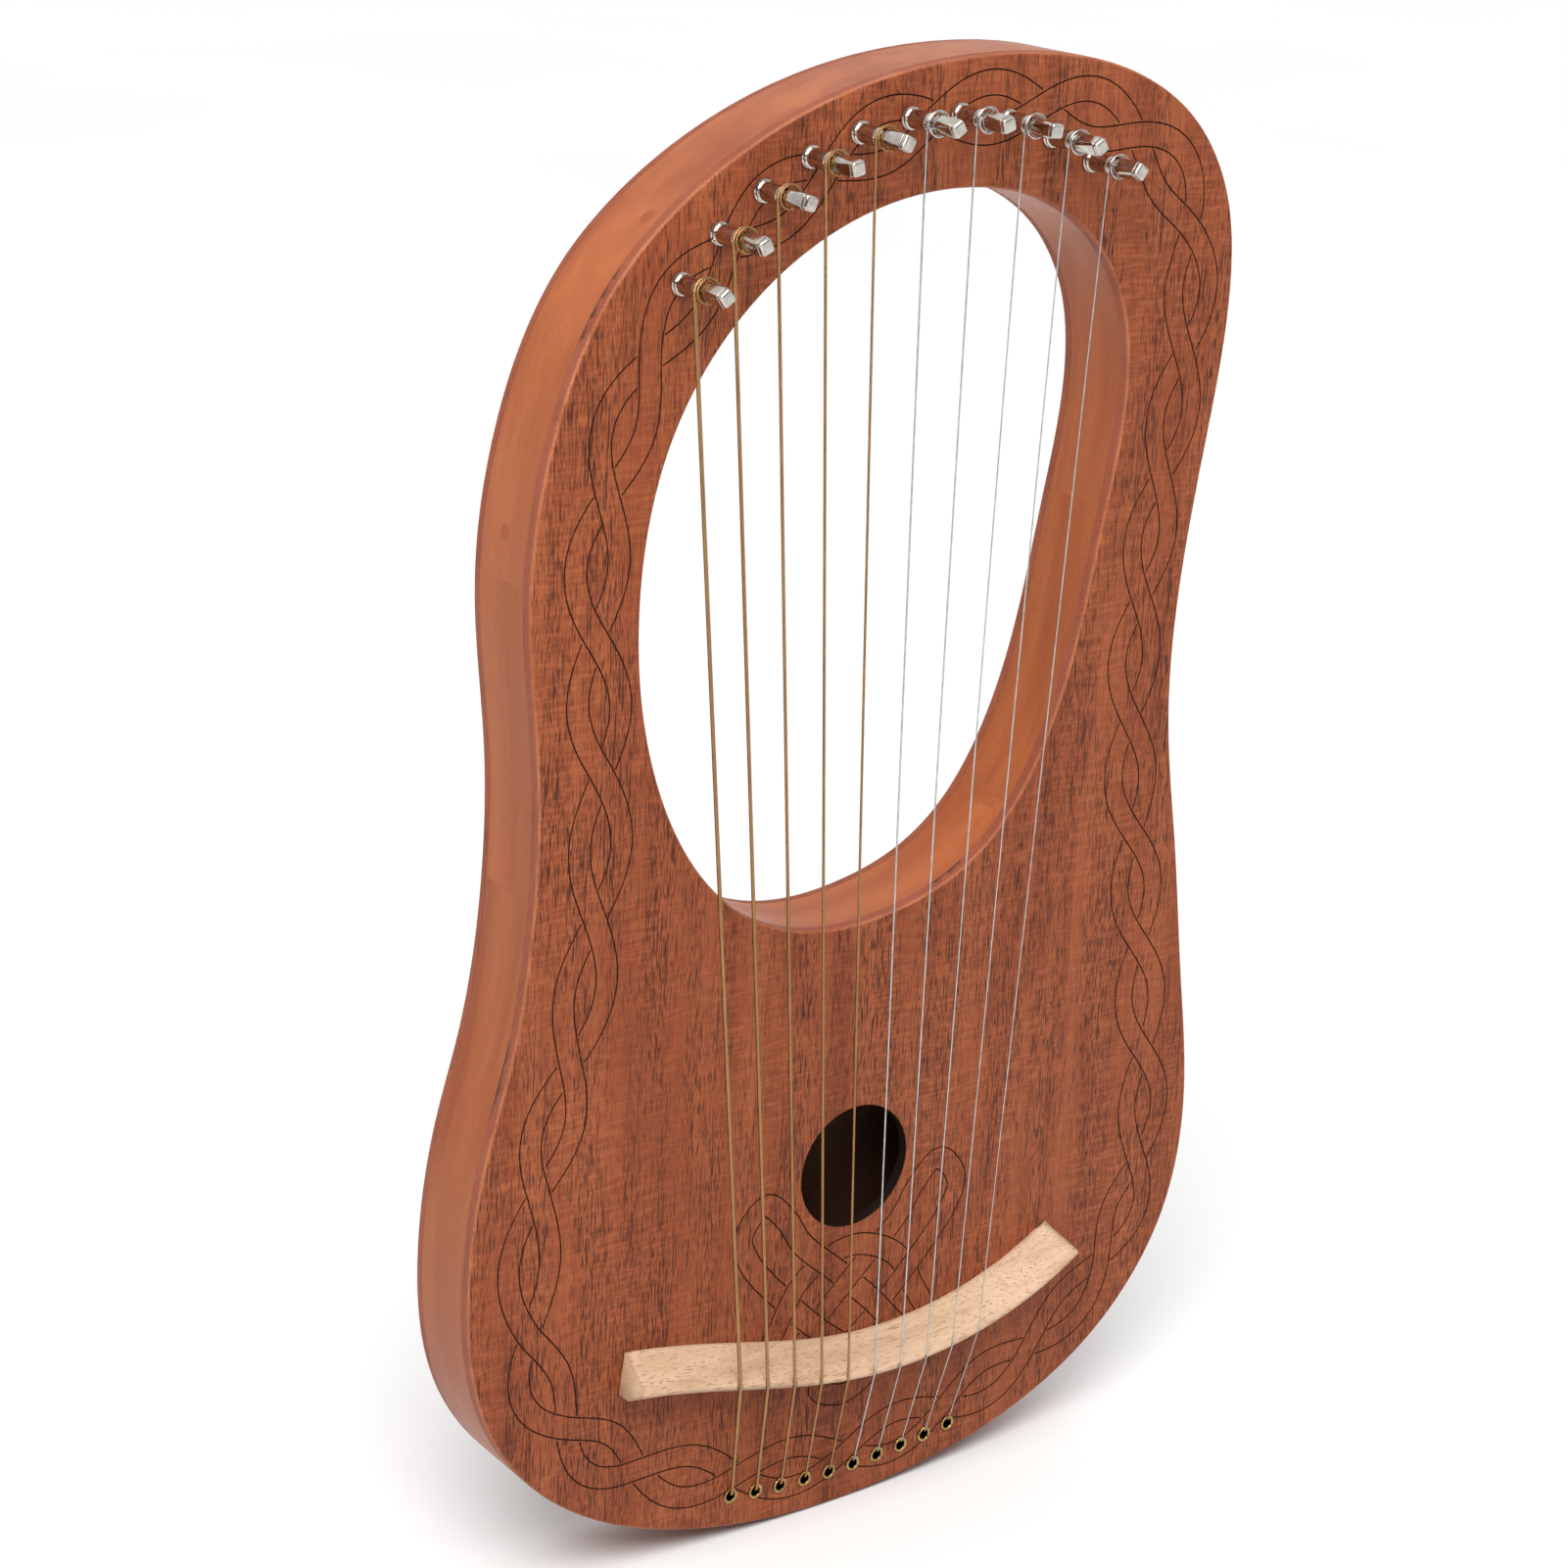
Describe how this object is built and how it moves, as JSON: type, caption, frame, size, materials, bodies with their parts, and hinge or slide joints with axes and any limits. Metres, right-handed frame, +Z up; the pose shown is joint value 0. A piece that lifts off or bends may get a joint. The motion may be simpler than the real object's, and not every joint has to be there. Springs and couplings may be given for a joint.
{
  "type": "lyre harp",
  "caption": "Small hand-held lyre harp with a hollow wooden body, hand opening, curved bridge, tuning pins and wire strings.",
  "frame": {"origin": "on the flat back face, straight behind the centre of the sound hole", "axes": "+Z up the length of the instrument from the tail to the pins, +Y out of the back, -Y out of the face that carries the strings, +X to the right seen from the front"},
  "size_m": [0.2483, 0.048, 0.41],
  "materials": {
    "face_mahogany": "open-pored mahogany with a thin matt oil finish",
    "frame_mahogany": "sanded solid mahogany, smooth and matt",
    "beech": "bare pale beech, sanded",
    "spruce": "bare spruce",
    "nickel": "bright nickel plate",
    "brass": "polished brass, slightly dulled",
    "bronze_wound": "bronze winding wire over a steel core",
    "steel_wire": "plain bright steel music wire"
  },
  "bodies": {
    "frame": {"soundboard": "face_mahogany", "back_board": "face_mahogany", "pin_block": "frame_mahogany", "left_arm": "frame_mahogany", "right_arm": "frame_mahogany", "left_side": "frame_mahogany", "right_side": "frame_mahogany", "tail_block": "frame_mahogany", "crossbar": "frame_mahogany", "joint_dowels": "beech", "side_plugs": "frame_mahogany", "soundboard_braces": "spruce", "back_brace": "spruce", "bridge": "beech", "string_eyelets": "brass", "string_ferrules": "brass", "ball_ends": "brass", "string_01": "bronze_wound", "string_02": "bronze_wound", "string_03": "bronze_wound", "string_04": "bronze_wound", "string_05": "bronze_wound", "string_06": "steel_wire", "string_07": "steel_wire", "string_08": "steel_wire", "string_09": "steel_wire", "string_10": "steel_wire"},
    "pin_01": {"tuning_pin_01": "nickel", "string_coil_01": "bronze_wound"},
    "pin_02": {"tuning_pin_02": "nickel", "string_coil_02": "bronze_wound"},
    "pin_03": {"tuning_pin_03": "nickel", "string_coil_03": "bronze_wound"},
    "pin_04": {"tuning_pin_04": "nickel", "string_coil_04": "bronze_wound"},
    "pin_05": {"tuning_pin_05": "nickel", "string_coil_05": "bronze_wound"},
    "pin_06": {"tuning_pin_06": "nickel", "string_coil_06": "steel_wire"},
    "pin_07": {"tuning_pin_07": "nickel", "string_coil_07": "steel_wire"},
    "pin_08": {"tuning_pin_08": "nickel", "string_coil_08": "steel_wire"},
    "pin_09": {"tuning_pin_09": "nickel", "string_coil_09": "steel_wire"},
    "pin_10": {"tuning_pin_10": "nickel", "string_coil_10": "steel_wire"}
  },
  "joints": [
    {"name": "pin_turn_01", "type": "hinge", "parent": "frame", "child": "pin_01", "pos_m": [-0.06855, -0.027, 0.25265], "axis": [0, 1, 0], "continuous": true},
    {"name": "pin_turn_02", "type": "hinge", "parent": "frame", "child": "pin_02", "pos_m": [-0.05773, -0.027, 0.26414], "axis": [0, 1, 0], "continuous": true},
    {"name": "pin_turn_03", "type": "hinge", "parent": "frame", "child": "pin_03", "pos_m": [-0.04521, -0.027, 0.27375], "axis": [0, 1, 0], "continuous": true},
    {"name": "pin_turn_04", "type": "hinge", "parent": "frame", "child": "pin_04", "pos_m": [-0.03132, -0.027, 0.28125], "axis": [0, 1, 0], "continuous": true},
    {"name": "pin_turn_05", "type": "hinge", "parent": "frame", "child": "pin_05", "pos_m": [-0.01641, -0.027, 0.28643], "axis": [0, 1, 0], "continuous": true},
    {"name": "pin_turn_06", "type": "hinge", "parent": "frame", "child": "pin_06", "pos_m": [-0.00087, -0.027, 0.28916], "axis": [0, 1, 0], "continuous": true},
    {"name": "pin_turn_07", "type": "hinge", "parent": "frame", "child": "pin_07", "pos_m": [0.01491, -0.027, 0.28939], "axis": [0, 1, 0], "continuous": true},
    {"name": "pin_turn_08", "type": "hinge", "parent": "frame", "child": "pin_08", "pos_m": [0.03053, -0.027, 0.28708], "axis": [0, 1, 0], "continuous": true},
    {"name": "pin_turn_09", "type": "hinge", "parent": "frame", "child": "pin_09", "pos_m": [0.04558, -0.027, 0.28232], "axis": [0, 1, 0], "continuous": true},
    {"name": "pin_turn_10", "type": "hinge", "parent": "frame", "child": "pin_10", "pos_m": [0.05967, -0.027, 0.27522], "axis": [0, 1, 0], "continuous": true}
  ]
}
